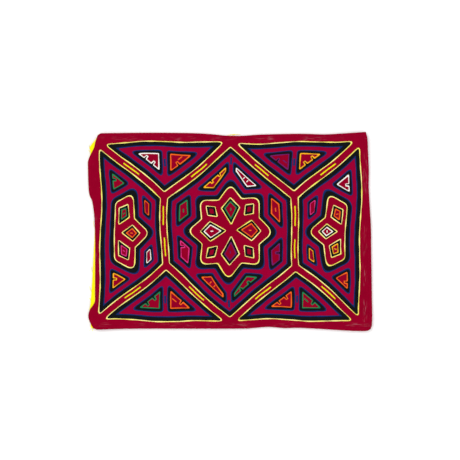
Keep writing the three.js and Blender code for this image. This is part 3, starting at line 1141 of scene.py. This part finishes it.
class MOLA_OT_blue_cloth(bpy.types.Operator):
    """Lay the blue cloth that shows as a thin line beside each black band and filler"""

    bl_idname = "mola.blue_cloth"
    bl_label = "Blue outlines"

    def execute(self, context):
        material = plain_weave("Navy", context.scene.mola_colours.blue)
        shapes = band_shapes(STEP_DOWN - BLUE_BAND - TUCK, STEP_DOWN, BLUE_HAND)
        for area in all_fillers():
            shapes.append([cut(grow(area, BLUE_BAND), FILLER_ROUND + BLUE_BAND, BLUE_HAND)])
        for place in DASHES:
            shapes.append([slit(place, 1j, DASH_LENGTH, DASH_WIDTH, BLUE_HAND)])
        return lay_cloth("blue_outlines", shapes, BLUE, material, "blue_cotton")


class MOLA_OT_black_cloth(bpy.types.Operator):
    """Lay the black bands, filler patches and flower cells"""

    bl_idname = "mola.black_cloth"
    bl_label = "Black cloth"

    def execute(self, context):
        material = plain_weave("Black", context.scene.mola_colours.black, slub=0.12)
        bands = band_shapes(BLACK_HIDDEN, YELLOW_BAND + BLACK_BAND, BLACK_HAND)
        band_nodes = [f"{name}_window_black_band" for name in WINDOWS]
        band_nodes += [f"{name}_flower_black_band" for name in FLOWER_NAMES]
        lay_cloth("black_bands", bands, BLACK, material, "black_cotton", *band_nodes)
        fillers = [[cut(area, FILLER_ROUND, BLACK_HAND)] for area in all_fillers()]
        filler_nodes = [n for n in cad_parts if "_filler" in n]
        lay_cloth("black_fillers", fillers, BLACK, material, "black_cotton", *filler_nodes)
        cells = [[cell_layer(cell, CELL_YELLOW - TUCK, BLACK_HAND)] for cell in all_cells()]
        cell_nodes = [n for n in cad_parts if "_cell_" in n]
        return lay_cloth("black_cells", cells, BLACK, material, "black_cotton", *cell_nodes)


class MOLA_OT_yellow_cloth(bpy.types.Operator):
    """Lay the yellow cloth and the yellow edges of the flowers"""

    bl_idname = "mola.yellow_cloth"
    bl_label = "Yellow cloth"

    def execute(self, context):
        dye = context.scene.mola_colours.yellow
        material = plain_weave("Yellow", dye, slub=0.03, finish=highlit_inside)
        sheet = [yellow_outlines()]
        lay_cloth("yellow_sheet", sheet, YELLOW, material, "yellow_cotton", "yellow_cloth")
        # The yellow strips under the rib slits get no painted highlight
        full_yellow = plain_weave("Full yellow", dye, slub=0.03)
        strips = [[strip] for strip in rib_slits(YELLOW_HAND, RIB_STRIP_MARGIN)]
        lay_cloth("slit_strips", strips, SLIT_STRIP, full_yellow, "yellow_cotton")
        shapes = flower_shapes(YELLOW_BAND - FOLD, CELL_YELLOW - FOLD, YELLOW_HAND)
        nodes = [f"{name}_flower_yellow" for name in FLOWER_NAMES]
        return lay_cloth("yellow_flowers", shapes, YELLOW, material, "yellow_cotton", *nodes)


class MOLA_OT_crimson_cloth(bpy.types.Operator):
    """Lay the crimson top cloth, with its border and ribs, and the crimson flowers"""

    bl_idname = "mola.crimson_cloth"
    bl_label = "Crimson cloth"

    def execute(self, context):
        material = plain_weave("Crimson", context.scene.mola_colours.crimson, finish=rubbed_border_and_fold_shade)
        sheet = [crimson_outlines()]
        lay_cloth("top_sheet", sheet, CRIMSON, material, "crimson_cotton", "top_cloth")
        lay_cloth("turned_hem", [[hem_strip()]], HEM, material, "crimson_cotton")
        flowers = flower_shapes(0, 0, CRIMSON_HAND)
        nodes = [f"{name}_flower_crimson" for name in FLOWER_NAMES]
        lay_cloth("crimson_flowers", flowers, CRIMSON, material, "crimson_cotton", *nodes)
        cores = [worked_filler(area, work)[1] for area, work in filler_plans()]
        cores += [worked_cell(cell)[1] for cell, colour in cell_plans() if colour]
        lay_cloth("crimson_cores", cores, CORE, material, "crimson_cotton")
        inset = CELL_YELLOW + SMALL_CELL_BLACK
        small = [shrink(cell, inset) for cell, colour in cell_plans() if not colour]
        shapes = [[cut(core, CORE_ROUND, CORE_HAND)] for core in small]
        return lay_cloth("small_cores", shapes, LINE, material, "crimson_cotton")


class MOLA_OT_coloured_lines(bpy.types.Operator):
    """Lay the coloured patches that show as lines inside the fillers and cells"""

    bl_idname = "mola.coloured_lines"
    bl_label = "Coloured lines"

    def execute(self, context):
        patches = {colour: [] for colour in LINE_HEX}
        for area, work in filler_plans():
            patches[work.colour].append(worked_filler(area, work)[0])
        for cell, colour in cell_plans():
            if colour:
                patches[colour].append(worked_cell(cell)[0])
        for colour, shapes in patches.items():
            material = plain_weave(colour.title(), linear(LINE_HEX[colour]))
            lay_cloth(f"{colour}_lines", shapes, LINE, material, "accent_cotton")
        return {"FINISHED"}


class MOLA_OT_stitches(bpy.types.Operator):
    """Sew down every folded edge with small slanting stitches, and run the hem"""

    bl_idname = "mola.stitches"
    bl_label = "Stitches"

    def execute(self, context):
        colours, sizes = context.scene.mola_colours, context.scene.mola_sizes
        small = stitch_template(WHIP_LENGTH * MM, sizes.thread)
        long = stitch_template(RUNNING_LENGTH * MM, sizes.thread * THICKER)
        spacing, hem_spacing = sizes.stitch_spacing / MM, sizes.hem_spacing / MM
        over = {
            "crimson": (CRIMSON[1], colours.crimson, CRIMSON_HAND, 0),
            "yellow": (YELLOW[1], colours.yellow, YELLOW_HAND, YELLOW_BAND - FOLD),
            "black": (BLACK[1], colours.black, BLACK_HAND, YELLOW_BAND + BLACK_BAND),
        }
        for name, (height, colour, hand, inset) in over.items():
            material = sewing_thread(f"{name.title()} cotton thread", colour)
            round_flowers = [flower_layer(flower, inset, hand) for flower in FLOWER_NAMES]
            places = whip_places(windows_cut(inset, hand), spacing, -1)
            places += whip_places(round_flowers, spacing, 1)
            if name == "crimson":
                cells = [cell_layer(cell, 0, CRIMSON_HAND) for cell in all_cells()]
                places += whip_places(rib_slits(CRIMSON_HAND) + cells, spacing, -1)
            if name == "black":
                fillers = [cut(area, FILLER_ROUND, BLACK_HAND) for area in all_fillers()]
                places += whip_places(fillers, spacing, 1)
            sewn(f"{name}_stitches", places, height, small, material)
        material = bpy.data.materials["Crimson cotton thread"]
        loose_threads(bpy.data.materials["Yellow cotton thread"])
        edge = panel_edge(CRIMSON_EDGE)
        side = running_places(edge, hem_spacing, SIDE_STITCH_INSET, True)
        sewn("side_stitches", side, CRIMSON[1], long, material)
        hem = running_places(edge, hem_spacing, HEM_STITCH_INSET, False)
        return sewn("hem_stitches", hem, HEM[1], long, material)


def sewing_thread(name, colour):
    """Twisted cotton sewing thread: a little smoother than the cloth, so it catches more light."""
    material, shader = matt_material(name, 0.7, 0.2)
    tree = material.node_tree
    place = add_node(tree, "ShaderNodeTexCoord", output="Object")
    twist = add_node(tree, NOISE, {"Vector": place, "Scale": TWIST_SCALE, "Detail": 2.0})
    value = add_node(tree, RANGE, (twist, 0, 1, 0.85, 1.3))
    dyed = add_node(tree, "ShaderNodeHueSaturation", {"Color": (*colour, 1), "Value": value})
    tree.links.new(dyed, shader.inputs["Base Color"])
    return material


# The least share of its rectangle that a cloth may be declared with
LEAST_SHARE = 0.3


def flat_area(outlines):
    """The area of an outline less its holes, in square metres."""
    areas = [polygon_area(outline) for outline in outlines]
    return (areas[0] - sum(areas[1:])) * MM * MM


class MOLA_OT_declare_cloths(bpy.types.Operator):
    """Work out the flat areas of the base, yellow and crimson cloths, the last two at least a share
    of the model's rectangle; the areas are not kept
    """

    bl_idname = "mola.declare_cloths"
    bl_label = "Declare cloths"

    def execute(self, context):
        size = [CAD_BOX[1][k] - CAD_BOX[0][k] for k in (0, 1)]
        least = LEAST_SHARE * size[0] * size[1]
        area = flat_area([panel_edge(YELLOW_EDGE, UNDER_SCALE)])
        area = max(least, flat_area(yellow_outlines()))
        area = max(least, flat_area(crimson_outlines()))
        return {"FINISHED"}


class MOLA_OT_stage(bpy.types.Operator):
    """Set the pale floor, the soft light and the camera straight above"""

    bl_idname = "mola.stage"
    bl_label = "Stage"

    def execute(self, context):
        scene, sizes, colours = context.scene, context.scene.mola_sizes, context.scene.mola_colours
        bpy.ops.object.select_all(action="DESELECT")
        bpy.ops.mesh.primitive_plane_add(size=FLOOR_SIZE, location=(0, 0, -FLOOR_DROP * MM))
        floor = context.object
        floor.name = "floor"
        # Uncoated paper: matt all over, so that no lamp shows in it
        paper, shader = matt_material("Matt white paper", 1.0, 0.0)
        shader.inputs["Base Color"].default_value = (*colours.floor, 1)
        floor.data.materials.append(paper)

        world = bpy.data.worlds.new("Soft room")
        world.use_nodes = True
        world.node_tree.nodes["Background"].inputs["Color"].default_value = (1, 1, 1, 1)
        world.node_tree.nodes["Background"].inputs["Strength"].default_value = WORLD_STRENGTH
        scene.world = world

        for name, place, size, power in LAMPS:
            bpy.ops.object.light_add(type="AREA", location=place)
            lamp = context.object
            lamp.name = name
            lamp.data.shape = "DISK"
            lamp.data.size = size
            lamp.data.energy = power
            lamp.rotation_euler = (-Vector(place)).to_track_quat("-Z", "Y").to_euler()

        bpy.ops.object.camera_add(location=(0, VIEW_RISE * MM, sizes.camera_height))
        camera = context.object
        camera.data.sensor_width = SENSOR
        camera.data.lens = SENSOR * sizes.camera_height / sizes.view_width
        camera.data.clip_end = VIEW_DEPTH
        scene.camera = camera
        scene.view_settings.view_transform = "Standard"
        return {"FINISHED"}


class MOLA_PT_panel(bpy.types.Panel):
    """Lists the sizes, the colours and the steps"""

    bl_label = "Mola panel"
    bl_idname = "MOLA_PT_panel"
    bl_space_type = "VIEW_3D"
    bl_region_type = "UI"
    bl_category = "Mola"

    def draw(self, context):
        for group in (context.scene.mola_sizes, context.scene.mola_colours):
            for name in group.__annotations__:
                self.layout.prop(group, name)
        for operator in STEPS:
            self.layout.operator(operator.bl_idname)


STEPS = (
    MOLA_OT_base_cloth,
    MOLA_OT_blue_cloth,
    MOLA_OT_black_cloth,
    MOLA_OT_yellow_cloth,
    MOLA_OT_crimson_cloth,
    MOLA_OT_coloured_lines,
    MOLA_OT_stitches,
    MOLA_OT_declare_cloths,
    MOLA_OT_stage,
)
CLASSES = (MolaSizes, MolaColours, *STEPS, MOLA_PT_panel)


def register():
    for kind in CLASSES:
        bpy.utils.register_class(kind)
    bpy.types.Scene.mola_sizes = bpy.props.PointerProperty(type=MolaSizes)
    bpy.types.Scene.mola_colours = bpy.props.PointerProperty(type=MolaColours)


def unregister():
    del bpy.types.Scene.mola_sizes
    del bpy.types.Scene.mola_colours
    for kind in reversed(CLASSES):
        bpy.utils.unregister_class(kind)


def main():
    register()
    bpy.ops.mola.base_cloth()
    bpy.ops.mola.blue_cloth()
    bpy.ops.mola.black_cloth()
    bpy.ops.mola.yellow_cloth()
    bpy.ops.mola.crimson_cloth()
    bpy.ops.mola.coloured_lines()
    bpy.ops.mola.stitches()
    bpy.ops.mola.declare_cloths()
    bpy.ops.mola.stage()


if __name__ == "__main__":
    main()
